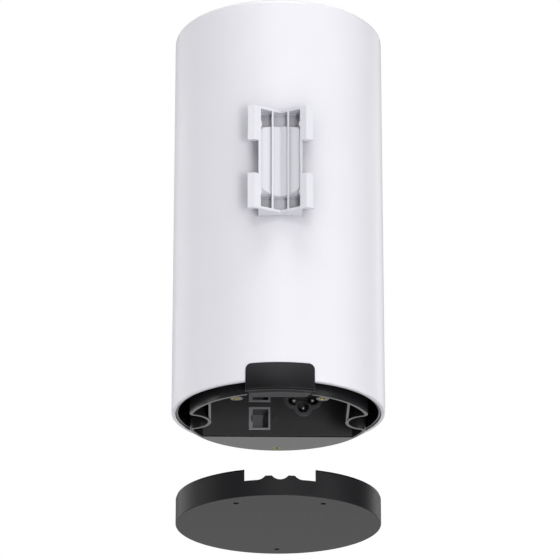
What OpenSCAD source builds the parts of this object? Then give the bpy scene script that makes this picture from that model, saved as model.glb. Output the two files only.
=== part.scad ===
// Outdoor mesh wifi node: a white tube on a pole bracket, with a cable bay and its cover below.
// Millimetres. +Z is up and -Y is the rear, towards the pole.
// The origin is the centre of the cover's underside, with the cover hanging open.

/* [Shell] */
// Outside diameter of the white shell
shell_d = 125; // [123:1:132]
// Height of the shell from its rim to its top
shell_h = 239; // [236:1:270]
// Thickness of the shell's side wall
shell_wall = 2.3; // [1.8:0.1:3]
// Thickness of the shell's top
top_wall = 2.5; // [2:0.1:4]
// Radius of the shell's top edge
top_round = 3; // [1:0.5:4]
// Radius of the rim's outer edge
rim_round = 0.7; // [0.3:0.1:1]

/* [Cover] */
// How far the cover's side lies inside the shell's outside
cover_in = 3.1; // [2.5:0.1:4]
// Height of the cover
cover_h = 16; // [14:0.5:20]
// Thickness of the cover's wall
cover_wall = 2.5; // [2:0.1:3]
// Thickness of the cover's floor
cover_floor = 2.4; // [1.8:0.1:3.5]
// How far the open cover hangs below its closed place
cover_drop = 47.4; // [20:0.2:80]
// Gap between the closed cover's edge and the shell's rim
cover_reveal = 4; // [3:0.5:5]
// Height of the stepped lip on the cover's edge
lip_h = 1.2; // [0.8:0.1:2]
// Depth of the step behind the lip
lip_step = 0.5; // [0.3:0.1:1]
// Depth of the cable cut-out below the cover's edge
cut_depth = 6.8; // [5:0.2:8]
// Distance between neighbouring cable scallops
cable_pitch = 13; // [12:0.5:14]
// Radius of a cable scallop
cable_r = 5.75; // [5:0.05:6]
// Height of the bumps between the scallops
bump_h = 2.3; // [1.5:0.1:3]

/* [Base frame] */
// How far the skirt round the port bay lies inside the shell's outside
skirt_in = 8.5; // [7.5:0.5:9.5]
// Thickness of the skirt
skirt_wall = 1.8; // [1.4:0.1:2.2]
// Thickness of the port wall
port_wall_t = 2.2; // [2:0.1:2.8]
// How far the skirt reaches below the shell's rim
skirt_drop = 4.75; // [3.5:0.25:6]
// Height of the bay's ceiling above the rim
bay_h = 38; // [36:1:46]
// Thickness of the flange over the bay
flange_t = 4; // [3.5:0.5:6]
// Depth of the front block, from the port wall to the skirt's outside
block_depth = 26.4; // [25:0.2:28]
// Thickness of the front block's floor
block_floor = 2.4; // [1.8:0.1:3]
// Thickness of the ring that lines the shell
liner_wall = 1.4; // [1:0.1:1.8]
// How far a side well's centre lies inside the skirt's outside
well_in = 1; // [0:0.5:2]
// Radius of a side well
well_r = 12; // [11:0.5:13]
// Radius of the corners at a well's mouth
well_round = 4; // [3:0.5:5]
// Cord diameter of the shell's O-ring
seal_d = 2.3; // [1.8:0.1:2.6]

/* [Hood and cable seal] */
// Width of the cable hood
hood_w = 39.4; // [38:0.2:41]
// How far the hood reaches below the rim
hood_drop = 5.4; // [4.5:0.1:6]
// Height of the hood above the rim
hood_top = 10.6; // [9:0.2:12]
// Radius of the hood's upper corners
hood_round = 3.3; // [2:0.1:4.5]
// How far the hood stands proud of the shell
hood_proud = 0.4; // [0.2:0.1:0.8]
// Radius of the hood's bulge from top to bottom
hood_bulge = 60; // [40:5:120]
// Bevel on the hood's lower edge
hood_bevel = 0.9; // [0.5:0.1:1.2]
// Width of the cable seal at its front, next to the hood
seal_front_w = 37; // [35:0.5:38]
// Width of the cable seal at its back, in the bay
seal_back_w = 29.6; // [28:0.2:31]
// Depth of the cable seal, from the skirt's outside to its back
seal_depth = 8.4; // [7:0.2:9]
// Height of the cable seal above the rim
seal_top = 9; // [7:0.5:10]

/* [Ports] */
// Width of a network socket, which stands upright here
jack_w = 14.1; // [13.8:0.1:14.5]
// Height of a network socket, from its latch to its board
jack_h = 12.7; // [12.4:0.1:13.2]
// Depth of a network socket behind its face
jack_depth = 15; // [14:0.5:16]
// Distance between the two network sockets
jack_pitch = 17.4; // [16:0.2:18]
// Place of the sockets across the port wall
jack_x = -10.65; // [-12:0.05:-10]
// Height of the lower socket's centre above the rim
jack_z = 6.7; // [6.2:0.1:8]
// Thickness of a socket's metal shield
shield_t = 0.4; // [0.3:0.1:0.5]
// Place of the mains inlet across the port wall
inlet_x = 15.3; // [14.5:0.1:16]
// Height of the inlet's two upper pins above the rim
inlet_z = 18.5; // [17:0.5:21]
// Distance between the inlet's two upper pins
pin_pitch = 11.2; // [10:0.1:11.6]
// How far the earth pin lies below the other two
earth_drop = 4.6; // [4:0.1:5.5]
// Diameter of an inlet pin
pin_d = 2.4; // [2:0.1:2.6]
// Radius of a lobe of the inlet's face
lobe_r = 5; // [4.6:0.1:5.4]
// Width of the inlet's rim
lobe_wall = 1.6; // [1.2:0.1:1.9]
// Depth of the inlet behind the port wall's face
inlet_depth = 13; // [11:0.5:14]
// Place of the reset button across the port wall
reset_x = -1.5; // [-1.6:0.1:-0.6]
// Height of the reset button above the rim
reset_z = 6.7; // [5:0.1:9]
// Diameter of the reset button
reset_d = 2.6; // [2.2:0.1:3]
// Travel of the reset button
reset_travel = 0.6; // [0.3:0.1:0.8]

/* [Pole bracket] */
// Height of the bracket
bracket_h = 64; // [60:1:72]
// Height of the bracket's middle above the rim
bracket_mid = 132.2; // [110:0.2:150]
// Width of the bracket's body
bracket_w = 25.4; // [25:0.2:28]
// Depth of the V groove's bottom line above the shell
vee_floor = 5; // [4.6:0.1:6]
// Half the distance between the two ridges of the V groove
ridge_x = 15; // [14.5:0.1:16]
// Height of the ridges above the V groove's bottom line
vee_depth = 8.2; // [7:0.1:9]
// Half the width across the wing tips
wing_x = 19; // [18.5:0.1:20]
// How far a wing's tip lies behind its ridge
wing_fall = 0.8; // [0.4:0.1:1.6]
// Thickness of a wing's tip
wing_t = 1.8; // [1.4:0.1:2.4]
// Height of the strap's way between the wings
strap_h = 21; // [16:0.5:24]
// Depth of the strap's tunnel behind the pocket floor
strap_t = 3; // [2.5:0.1:3.2]
// Thickness of the floor over the strap's tunnel
strap_roof = 1.3; // [1:0.1:1.5]
// How far the raised floor climbs from the bracket's middle to its sides
raised_climb = 5.6; // [4:0.1:6]
// Thickness of the bracket's ribs
rib_t = 1.1; // [0.8:0.1:1.5]
// Distance of a rib's middle from the bracket's middle
rib_x = 4.5; // [4:0.1:5]
// Thickness of the bracket's side and end walls
bracket_wall = 1.4; // [1.1:0.1:1.8]

/* [Boards and chassis] */
// How far the main board's front edge lies in front of the port wall's face
main_front = 18.4; // [16:0.2:20]
// How far the power board's front edge lies in front of the port wall's face
power_front = 8.4; // [7:0.2:10]
// Thickness of the circuit boards
board_t = 1.6; // [1.2:0.2:2]
// Width of the main board
main_w = 92; // [88:1:96]
// Height of the main board
main_h = 108; // [100:1:118]
// Width of the power board
power_w = 72; // [66:1:76]
// Height of the power board
power_h = 96; // [90:1:104]
// Distance of the chassis plate from the axis
chassis_x = 8.4; // [8:0.1:10]
// Thickness of the chassis plate
chassis_t = 2; // [1.5:0.1:2.5]
// Height of the chassis above the flange, up to the antenna carrier
chassis_h = 140; // [130:1:150]
// How far the antenna carrier's edge lies inside the shell's outside
carrier_in = 9.5; // [8:0.5:12]
// Thickness of the antenna carrier
carrier_t = 2; // [1.5:0.1:2.5]
// Height of an antenna
antenna_h = 28; // [22:1:32]
// Width of an antenna
antenna_w = 18; // [12:1:20]

/* [Fasteners] */
// How far the three cover screws lie inside the skirt's outside
screw_in = 4.6; // [4.2:0.1:5.2]
// Diameter of a screw hole in the cover's underside
tool_hole_d = 3.4; // [3.2:0.1:3.8]
// Outside diameter of a brass insert
insert_d = 4.4; // [4.2:0.1:4.8]
// Length of a brass insert
insert_l = 6; // [5.5:0.5:8]
// Thread core of a cover screw
cover_core = 1.9; // [1.7:0.1:2]
// Core diameter of the other screws
screw_core = 2.4; // [2:0.1:2.6]
// Head diameter of the other screws
screw_head = 5; // [4.6:0.1:5.4]

/* [Fits] */
// Gap between pieces that are fixed to each other
seat_gap = 0.1; // [0.05:0.01:0.15]
// Gap round a piece that slides in a bore
run_gap = 0.05; // [0.03:0.01:0.08]
// Gap that stays under the closed cover's seats
close_gap = 0.2; // [0.1:0.05:0.4]
// Gap between the hood and the cover's cut-out, on each side
cut_gap = 0.35; // [0.3:0.05:0.6]
// Gap between a captive screw and the insert it closes into
thread_gap = 0.3; // [0.3:0.05:0.4]

/* [Hidden] */
$fn = 96;
over = 1;

// Levels, from the open cover's underside up
rim_z = cover_drop + cover_h + cover_reveal;
top_z = rim_z + shell_h;
skirt_z = rim_z - skirt_drop;
flange_z = rim_z + bay_h;
deck_z = flange_z + flange_t;
liner_z = rim_z + rim_round;

// Radii of the shell, the base and the cover
shell_r = shell_d / 2;
shell_ri = shell_r - shell_wall;
cover_r = shell_r - cover_in;
skirt_r = shell_r - skirt_in;
skirt_ri = skirt_r - skirt_wall;
flange_r = shell_ri - seat_gap;
liner_ri = flange_r - liner_wall;
port_wall_y = skirt_r - block_depth;
port_back_y = port_wall_y + port_wall_t;
plate_lip = 0.8;
plate_z = skirt_z + plate_lip;
seal_back_y = skirt_r - seal_depth;
cover_round = 0.5;

// Side well, and its corner circle: touches the skirt from inside and the well from outside
well_x = skirt_r - well_in;
corner_x = (pow(skirt_r - well_round, 2) - pow(well_r + well_round, 2) + well_x * well_x) / (2 * well_x);
corner_y = sqrt(pow(skirt_r - well_round, 2) - corner_x * corner_x);
well_out = shell_r / (skirt_r - well_round);

// Hood: its inner flange and the arms on it
hood_flange = 2.5;
arm_x = 11.1;
arm_w = 3;
arm_low = 2;
arm_high = 1;

// Fasteners and the places that they share
screw_angles = [90, 240, 300];
screw_circle = skirt_r - screw_in;
cover_points = [for (a = screw_angles) screw_circle * [cos(a), sin(a)]];
boss_wall = 1.45;
boss_d = insert_d + 2 * boss_wall;
boss_end = 6;
insert_lip = 0.4;
insert_end = 3;
cover_seat = cover_h + cover_reveal - skirt_drop - close_gap;
cover_rib = 1.6;
cover_neck = 4;
cover_reach = 4;
cover_head_h = 2;
base_screw_in = 2.5;
base_screw_x = well_x - base_screw_in;
base_screw_y = well_r / 2;
base_points = [for (sx = [-1, 1], sy = [-1, 1]) [sx * base_screw_x, sy * base_screw_y]];
base_grip = 10;
shell_boss_d = 8;
shell_boss_h = 18;
boss_web = 2.4;
pilot_end = 2;
head_h = 2;
way_gap = 0.4;
screw_way = screw_core + 2 * way_gap;
screw_pilot = screw_core + 2 * run_gap;

// Bracket: places along the height and levels away from the shell
bracket_z0 = rim_z + bracket_mid - bracket_h / 2;
bracket_z1 = bracket_z0 + bracket_h;
strap_z0 = rim_z + bracket_mid - strap_h / 2;
strap_z1 = strap_z0 + strap_h;
vee_y = -shell_r - vee_floor;
ridge_y = vee_y - vee_depth;
tip_y = ridge_y + wing_fall;
wing_back_y = tip_y + wing_t;
side_x = bracket_w / 2;
side_y = vee_y - vee_depth * side_x / ridge_x;
pocket_x = side_x - bracket_wall;
pocket_floor = 2;
pocket_y = -shell_r - pocket_floor;
tunnel_y = -shell_r - strap_t;
raised_margin = 11.5;
raised_z0 = strap_z0 - raised_margin;
raised_z1 = strap_z1 + raised_margin;
raised_y = tunnel_y - strap_roof;
raised_side_y = raised_y - raised_climb;
raised_round = 7;
bracket_boss_rim = 0.7;
bracket_boss_d = screw_head + 2 * bracket_boss_rim;
bracket_screw_in = 1.2;
bracket_screw_x = ridge_x - bracket_screw_in;
bracket_grip = 9;
bracket_screw_l = shell_wall + bracket_grip;
bracket_washer = 1.6;
wing_mid = [(bracket_z0 + strap_z0) / 2, (strap_z1 + bracket_z1) / 2];
bracket_points = [for (sx = [-1, 1], z = wing_mid) [sx * bracket_screw_x, z]];
bracket_seat_x = bracket_screw_x - bracket_boss_d / 2;
bracket_boss_y = vee_y - vee_depth * bracket_seat_x / ridge_x;
bracket_seat_y = bracket_washer - sqrt(shell_ri * shell_ri - bracket_seat_x * bracket_seat_x);

// Ports: heights, the socket's opening and the inlet's pins
jack_zs = [for (i = [0, 1]) rim_z + jack_z + i * jack_pitch];
jack_face = 0.4;
jack_y0 = port_wall_y - jack_face;
jack_y1 = port_wall_y + jack_depth;
jack_x0 = jack_x - jack_h / 2;
jack_x1 = jack_x + jack_h / 2;
latch_bar = 2.2;
board_bar = 1.2;
mouth_w = 11.7;
mouth_depth = 11;
latch_w = 4.2;
contact_pitch = 1.02;
contact_t = 0.4;
contact_run = 8;
contact_rise = 2.4;
contact_w = 0.6;
contact_tip = 0.8;
inlet_zu = rim_z + inlet_z;
pin_points = [
  [inlet_x - pin_pitch / 2, inlet_zu],
  [inlet_x + pin_pitch / 2, inlet_zu],
  [inlet_x, inlet_zu - earth_drop]
];
inlet_proud = 0.6;
inlet_y0 = port_wall_y - inlet_proud;
inlet_y1 = port_wall_y + inlet_depth;
inlet_back = 2;
inlet_step = 0.6;
inlet_bezel = 0.8;
inlet_body_r = lobe_r + inlet_step;
pin_sunk = 0.8;
pin_y = inlet_y0 + pin_sunk + pin_d / 2;
pin_tail = 2;

// Reset button: face, collar and the switch behind it
reset_zu = rim_z + reset_z;
reset_proud = 0.8;
reset_collar_y = port_back_y + run_gap;
reset_collar_t = 0.8;
reset_flange = 0.6;
reset_stem_l = 0.4;
reset_stem_y = reset_collar_y + reset_collar_t + reset_stem_l;
plunger_y = reset_stem_y + reset_travel + run_gap;
plunger_l = 0.6;
plunger_d = 1.2;
switch_w = 6;
switch_t = 3.2;
switch_depth = 3.4;
switch_in = 0.8;

// Boards, chassis and what they carry
main_x0 = jack_x1 + seat_gap;
main_x1 = main_x0 + board_t;
board_lift = 4;
main_z0 = deck_z + board_lift;
main_z1 = main_z0 + main_h;
tongue_y0 = plunger_y;
tongue_gap = 1;
tongue_y1 = screw_circle - boss_d / 2 - tongue_gap;
tongue_z0 = skirt_z + block_floor + tongue_gap;
power_x0 = inlet_x + pin_pitch / 2 + inlet_body_r + seat_gap;
power_x1 = power_x0 + board_t;
power_z1 = main_z0 + power_h;
power_tongue_y1 = sqrt(pow(skirt_ri, 2) - pow(power_x1, 2)) - 2 * tongue_gap;
chassis_x1 = chassis_x + chassis_t;
carrier_z = deck_z + chassis_h;
carrier_r = shell_r - carrier_in;
carrier_rim_h = 4;
carrier_rim_t = 1.5;
standoff_d = 5.4;
hole_low = 10;
hole_high = 8;
hole_side = 6;
main_y1 = port_wall_y + main_front;
main_y0 = main_y1 - main_w;
power_y1 = port_wall_y + power_front;
power_y0 = power_y1 - power_w;
main_points = board_holes(main_y0, main_y1, main_z1);
power_points = board_holes(power_y0, power_y1, power_z1);
board_grip = 5;
board_screw_l = board_t + board_grip;
foot_gap = 3;
foot_back = 5;
foot_x1 = power_x0 - foot_gap;
foot_y = port_wall_y - foot_back;
foot_hole_x = 5;
foot_hole_y = 6;
foot_points = [for (s = [-1, 0, 1]) [foot_x1 - foot_hole_x, s * (foot_y - foot_hole_y)]];
foot_skin = 0.8;
foot_tip = 1;
foot_screw_l = chassis_t + flange_t - foot_tip;
chip_w = 22;
chip_t = 1.2;
pad_t = 1;
chip_lift = 59;
chip_z = main_z0 + chip_lift;
sink_w = 54;
sink_h = 60;
sink_x0 = main_x1 + chip_t + pad_t;
sink_base = 2.4;
sink_gap = 0.8;
sink_x1 = chassis_x - sink_gap;
fin_count = 10;
fin_t = 1.4;
window_lift = 44;
window_y = 23;
window_d = 18;
tab_y = 20;
shoulder_y = 28;
antenna_a = [55, 145, 215, 305];
antenna_in = 6;
antenna_r = carrier_r - antenna_in;
antenna_fold = 7;
slot_w = 1.2;
slot_lift = 6;
slot_top = 3;
notch_lift = 17;
foot_heel = 2;
sheet_t = 0.5;
lead_d = 1.4;
lead_in = 6;
lead_drop = 3;
lead_z = carrier_z - lead_drop;
lead_gap = 0.4;
lead_x = main_x0 - lead_d / 2 - lead_gap;
plug_d = 2.6;
plug_in = 6;
plug_z = main_z1 - plug_in;
led_lift = 14;
led_w = 3;
led_z = main_z0 + led_lift;
led_y = main_y1;
pipe_d = 3;
pipe_gap = 0.3;
pipe_x = main_x1 + pipe_d / 2 + pipe_gap;
pipe_flange = 1.2;
pipe_flange_t = 2.2;
pipe_y = shell_ri - 2 * seat_gap;

// Shield cans, transformer and capacitors
can_t = 3.2;
can_wall = 0.4;
can_w = 52;
can_h = 34;
can_lifts = [10, 50];
core_w = 26;
core_h = 22;
core_depth = 17;
core_t = 3;
bobbin_d = 17;
core_lift = 34;
cap_d = 13;
cap_l = 22;
cap_pitch = 24;
cap_lift = 66;
neck_in = 0.5;
neck_x0 = 3;
neck_x1 = 4.5;

// Places of a board's four screws, given across the board and in height
function board_holes(y0, y1, z1) = [
  for (y = [y0 + hole_side, y1 - hole_side], z = [main_z0 + hole_low, z1 - hole_high]) [y, z]
];

// Draws a shape given in X and Z and carries it along Y
module along_y(y0, y1) {
  translate([0, y1, 0]) rotate([90, 0, 0]) linear_extrude(y1 - y0) children();
}

// Draws a shape given in Y and Z and carries it along X
module along_x(x0, x1) {
  translate([x0, 0, 0]) rotate([90, 0, 90]) linear_extrude(x1 - x0) children();
}

// A box between two corners
module box(a, b) {
  translate(a) cube(b - a);
}

// A round bar along Y
module bar_y(x, z, d, y0, y1) {
  translate([x, y0, z]) rotate([-90, 0, 0]) cylinder(d = d, h = y1 - y0);
}

// A round bar along X
module bar_x(y, z, d, x0, x1) {
  translate([x0, y, z]) rotate([0, 90, 0]) cylinder(d = d, h = x1 - x0);
}

// A rectangle with two round upper corners, from the line z = z0 up
module arched_plate(w, z0, z1, r) {
  translate([-w / 2, z0]) square([w, z1 - z0 - r]);
  translate([-w / 2 + r, z0]) square([w - 2 * r, z1 - z0]);
  for (s = [-1, 1]) translate([s * (w / 2 - r), z1 - r]) circle(r = r);
}

// What lies outside a quarter circle of radius r in the corner at the origin
module corner_cut(r) {
  translate([-r, -r]) difference() {
    square(r + over);
    circle(r = r);
  }
}

// A screw that points up: its head lies below the origin and has a hexagon socket
module screw(core, length, head_d, head_t) {
  cylinder(d = core, h = length);
  translate([0, 0, -head_t]) difference() {
    cylinder(d = head_d, h = head_t);
    translate([0, 0, -over]) cylinder(d = head_d * 0.5, h = head_t * 0.6 + over, $fn = 6);
  }
}

// Plan of the base, drawn in by a distance: a disc with a rounded well at each side
module base_plan(inset) {
  difference() {
    circle(r = skirt_r - inset);
    well_plan(inset);
    mirror([1, 0]) well_plan(inset);
  }
}

// One side well: a nose circle whose mouth opens over two corner circles
module well_plan(inset) {
  difference() {
    union() {
      translate([well_x, 0]) circle(r = well_r + inset);
      polygon([
        [well_x, 0], [corner_x, corner_y], [corner_x, corner_y] * well_out,
        [corner_x, -corner_y] * well_out, [corner_x, -corner_y]
      ]);
    }
    for (s = [-1, 1]) translate([corner_x, s * corner_y]) circle(r = well_round - inset);
  }
}

// Part of the base's plan between two lines across it
module base_slice(inset, y0, y1) {
  intersection() {
    base_plan(inset);
    translate([-shell_r, y0]) square([shell_d, y1 - y0]);
  }
}

// Half section of the shell's outside
module shell_section() {
  difference() {
    square([shell_r, shell_h]);
    translate([shell_r, shell_h]) corner_cut(top_round);
    translate([shell_r, 0]) mirror([0, 1]) corner_cut(rim_round);
  }
}

// White tube with a closed top
module outer_shell() {
  color("whitesmoke") difference() {
    union() {
      difference() {
        translate([0, 0, rim_z]) rotate_extrude() shell_section();
        translate([0, 0, rim_z - over]) cylinder(r = shell_ri, h = shell_h - top_wall + over);
      }
      for (p = base_points) shell_boss(p);
    }
    along_y(-shell_r - over, 0) hood_outline(seat_gap);
    for (p = base_points) {
      translate([p[0], p[1], deck_z]) cylinder(d = screw_pilot, h = base_grip + pilot_end);
    }
    for (p = bracket_points) bar_y(p[0], p[1], screw_way, -shell_r - over, 0);
    bar_y(pipe_x, led_z, pipe_d + 2 * run_gap, 0, shell_r + over);
  }
}

// Screw boss inside the shell, tied to its wall by a web
module shell_boss(p) {
  intersection() {
    translate([0, 0, deck_z + seat_gap]) union() {
      translate([p[0], p[1], 0]) cylinder(d = shell_boss_d, h = shell_boss_h);
      box([min(p[0], sign(p[0]) * shell_r), p[1] - boss_web / 2, 0],
          [max(p[0], sign(p[0]) * shell_r), p[1] + boss_web / 2, shell_boss_h]);
    }
    cylinder(r = shell_r - shell_wall / 2, h = top_z);
  }
}

// Outline of the hood's face, grown by a gap, reaching below the rim
module hood_outline(gap) {
  arched_plate(hood_w + 2 * gap, rim_z - hood_drop - over, rim_z + hood_top + gap, hood_round + gap);
}

// V-groove bracket: a pocketed body with two pairs of wings and a tunnel for a strap
module pole_bracket() {
  color("white") difference() {
    union() {
      difference() {
        bracket_block(bracket_z0, bracket_z1) bracket_body();
        bracket_pockets();
      }
      for (z = [[bracket_z0, strap_z0], [strap_z1, bracket_z1]]) {
        bracket_block(z[0], z[1]) bracket_wings();
      }
      for (p = bracket_points) bar_y(p[0], p[1], bracket_boss_d, bracket_boss_y, -shell_ri / 2);
    }
    cylinder(r = shell_r + run_gap, h = top_z);
    box([-wing_x, tunnel_y, strap_z0], [wing_x, 0, strap_z1]);
    for (p = bracket_points) bar_y(p[0], p[1], screw_pilot, bracket_boss_y + wing_t, 0);
  }
}

// Carries a plan of the bracket from one height to another
module bracket_block(z0, z1) {
  translate([0, 0, z0]) linear_extrude(z1 - z0) children();
}

// Plan of the bracket's body, with the V groove in its rear
module bracket_body() {
  polygon([
    [0, vee_y], [side_x, side_y], [side_x, -shell_ri / 2], [-side_x, -shell_ri / 2], [-side_x, side_y]
  ]);
}

// Plan of both wings, from the body's side out over the ridge to the tip
module bracket_wings() {
  for (s = [0, 1]) mirror([s, 0]) polygon([
    [pocket_x, vee_y - vee_depth * pocket_x / ridge_x], [ridge_x, ridge_y], [wing_x, tip_y],
    [wing_x, wing_back_y], [pocket_x, wing_back_y]
  ]);
}

// Three pockets between the ribs: deep at both ends, shallow over the strap's tunnel
module bracket_pockets() {
  difference() {
    for (x = [[-pocket_x, -rib_x - rib_t / 2], [-rib_x + rib_t / 2, rib_x - rib_t / 2],
              [rib_x + rib_t / 2, pocket_x]]) {
      box([x[0], ridge_y - over, bracket_z0 + bracket_wall], [x[1], pocket_y, bracket_z1 - bracket_wall]);
    }
    raised_floor();
  }
}

// Floor over the strap's tunnel: it follows the V groove, and its ends are round
module raised_floor() {
  intersection() {
    bracket_block(raised_z0, raised_z1) polygon([
      [0, raised_y], [side_x, raised_side_y], [side_x, 0], [-side_x, 0], [-side_x, raised_side_y]
    ]);
    along_x(-side_x, side_x) difference() {
      translate([raised_side_y, raised_z0]) square([-raised_side_y, raised_z1 - raised_z0]);
      translate([raised_side_y, raised_z0]) rotate(180) corner_cut(raised_round);
      translate([raised_side_y, raised_z1]) mirror([1, 0]) corner_cut(raised_round);
    }
  }
}

// Screws that hold the bracket from inside the shell
module bracket_screws() {
  color("silver") for (p = bracket_points) translate([p[0], bracket_seat_y, p[1]]) rotate([90, 0, 0]) {
    screw(screw_core, bracket_screw_l, screw_head, head_h);
  }
}

// Black base: bay, side wells, front block, flange and the ring that lines the shell
module base_frame() {
  color("#2a2a2c") difference() {
    union() {
      translate([0, 0, skirt_z]) linear_extrude(flange_z - skirt_z) difference() {
        base_plan(0);
        base_plan(skirt_wall);
      }
      translate([0, 0, skirt_z]) {
        linear_extrude(plate_lip) base_slice(0, port_wall_y, skirt_r);
        linear_extrude(block_floor) base_slice(0, port_back_y + run_gap, skirt_r);
      }
      translate([0, 0, flange_z]) cylinder(r = flange_r, h = flange_t);
      translate([0, 0, liner_z]) difference() {
        cylinder(r = flange_r, h = flange_z - liner_z);
        translate([0, 0, -over]) cylinder(r = liner_ri, h = flange_z - liner_z + over);
      }
      for (p = cover_points) translate([p[0], p[1], skirt_z]) cylinder(d = boss_d, h = insert_l + boss_end);
    }
    base_openings();
  }
}

// Everything cut out of the base
module base_openings() {
  translate([0, 0, flange_z - over]) linear_extrude(flange_t + 2 * over) {
    base_slice(skirt_wall, port_back_y, skirt_r);
  }
  translate([0, 0, flange_z + flange_t / 2]) difference() {
    translate([0, 0, -seal_d / 2 - seat_gap]) cylinder(r = shell_r, h = seal_d + 2 * seat_gap);
    translate([0, 0, -seal_d]) cylinder(r = shell_ri - seal_d, h = 2 * seal_d);
  }
  for (p = cover_points) translate([p[0], p[1], skirt_z - over]) {
    cylinder(d = insert_d + 2 * run_gap, h = insert_l + over);
    cylinder(d = insert_d - 2 * insert_lip, h = insert_l + insert_end + over);
  }
  for (p = base_points) translate([p[0], p[1], flange_z - over]) {
    cylinder(d = screw_way, h = flange_t + 2 * over);
  }
  for (p = foot_points) translate([p[0], p[1], flange_z + foot_skin]) {
    cylinder(d = screw_pilot, h = flange_t);
  }
  seal_way();
  difference() {
    along_y(-shell_r, 0) hood_back_outline(seat_gap);
    cylinder(r = liner_ri - seat_gap, h = top_z);
  }
}

// Plate that carries the ports, set between the lip of the block's floor and the flange
module port_plate() {
  color("#2a2a2c") difference() {
    translate([0, 0, plate_z]) linear_extrude(flange_z - plate_z) {
      base_slice(skirt_wall + run_gap, port_wall_y, port_back_y);
    }
    along_y(port_wall_y - over, port_back_y + over) {
      for (z = jack_zs) translate([jack_x, z]) {
        square([jack_h, jack_w] + 2 * seat_gap * [1, 1], center = true);
      }
      inlet_plan(lobe_r + seat_gap);
      translate([reset_x, reset_zu]) circle(d = reset_d + 2 * run_gap);
    }
  }
}

// Way through the skirt and the liner for the cable seal
module seal_way() {
  translate([0, 0, skirt_z - over]) linear_extrude(rim_z + seal_top + seat_gap - skirt_z + over) {
    translate([-seal_front_w / 2 - seat_gap, -skirt_r - over]) {
      square([seal_front_w + 2 * seat_gap, skirt_r + over - seal_back_y + over]);
    }
  }
}

// Three lobes round the inlet's pins, filled in the middle
module inlet_plan(r) {
  for (p = pin_points) translate(p) circle(r = r);
  polygon(pin_points);
  translate([inlet_x - pin_pitch / 2, inlet_zu]) square([pin_pitch, r]);
}

// Screws from the side wells up into the shell's bosses
module base_screws() {
  color("silver") for (p = base_points) translate([p[0], p[1], flange_z]) {
    screw(screw_core, flange_t + base_grip, screw_head, head_h);
  }
}

// O-ring in the flange's groove
module shell_seal() {
  color("#1c1c1c") translate([0, 0, flange_z + flange_t / 2]) rotate_extrude() {
    translate([shell_ri - seal_d / 2, 0]) circle(d = seal_d - run_gap);
  }
}

// Outline of the hood's inner flange, wider than its face
module hood_back_outline(gap) {
  grown = hood_flange + gap;
  arched_plate(hood_w + 2 * grown, liner_z - over, rim_z + hood_top + grown, hood_round + grown);
}

// Half section of the hood's face: bulged outside, bevelled below
module hood_section() {
  r = shell_r + hood_proud;
  mid = (hood_top - hood_drop) / 2;
  difference() {
    intersection() {
      translate([shell_ri, -hood_drop]) square([shell_wall + hood_proud, hood_top + hood_drop]);
      translate([r - hood_bulge, mid]) circle(r = hood_bulge);
    }
    translate([r, -hood_drop]) rotate(45) square(hood_bevel * 2, center = true);
  }
}

// Black plate that fills the notch in the shell's rear, with a flange and two arms inside
module cable_hood() {
  color("#303032") {
    intersection() {
      translate([0, 0, rim_z]) rotate_extrude() hood_section();
      along_y(-shell_r - over, 0) hood_outline(0);
    }
    intersection() {
      translate([0, 0, liner_z]) difference() {
        cylinder(r = shell_ri, h = bay_h);
        translate([0, 0, -over]) cylinder(r = liner_ri, h = bay_h + 2 * over);
        cylinder(r = shell_ri - seat_gap, h = bay_h);
      }
      along_y(-shell_r - over, 0) hood_outline(0);
    }
    intersection() {
      translate([0, 0, liner_z]) difference() {
        cylinder(r = shell_ri - seat_gap, h = bay_h);
        translate([0, 0, -over]) cylinder(r = liner_ri, h = bay_h + 2 * over);
      }
      along_y(-shell_r - over, 0) hood_back_outline(0);
    }
    for (s = [-1, 1]) hood_arm(s * arm_x);
  }
}

// Arm that holds the hood against the cable seal
module hood_arm(x) {
  difference() {
    box([x - arm_w / 2, -liner_ri - liner_wall / 2, rim_z + arm_low],
        [x + arm_w / 2, -skirt_ri, rim_z + seal_top - arm_high]);
    cylinder(r = skirt_r + seat_gap, h = top_z);
  }
}

// Rubber block that closes the bay above the cables, tapered towards its back
module cable_seal() {
  color("#4a4a4c") translate([0, 0, skirt_z]) linear_extrude(rim_z + seal_top - skirt_z) intersection() {
    polygon([
      [-seal_front_w / 2, -skirt_r], [seal_front_w / 2, -skirt_r],
      [seal_front_w / 2, -skirt_ri], [seal_back_w / 2, -seal_back_y],
      [-seal_back_w / 2, -seal_back_y], [-seal_front_w / 2, -skirt_ri]
    ]);
    circle(r = skirt_r);
  }
}

// Threaded inserts for the three cover screws
module brass_inserts() {
  color("goldenrod") for (p = cover_points) translate([p[0], p[1], skirt_z]) difference() {
    cylinder(d = insert_d, h = insert_l);
    translate([0, 0, -over]) cylinder(d = cover_core + 2 * thread_gap, h = insert_l + 2 * over);
  }
}

// Opening of a network socket, with the latch's way in its left side
module jack_mouth() {
  translate([jack_x0 + latch_bar, -mouth_w / 2]) square([jack_h - latch_bar - board_bar, mouth_w]);
  translate([jack_x0 + board_bar, -latch_w / 2]) square([latch_bar, latch_w]);
}

// Metal shields of the two network sockets, open to the front
module ethernet_shields() {
  color("lightgray") for (z = jack_zs) translate([0, 0, z]) difference() {
    box([jack_x0, jack_y0, -jack_w / 2], [jack_x1, jack_y1, jack_w / 2]);
    box([jack_x0 + shield_t, jack_y0 + shield_t, -jack_w / 2 + shield_t],
        [jack_x1 - shield_t, jack_y1 - shield_t, jack_w / 2 - shield_t]);
    along_y(jack_y0 - over, jack_y0 + 2 * over) jack_mouth();
  }
}

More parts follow.
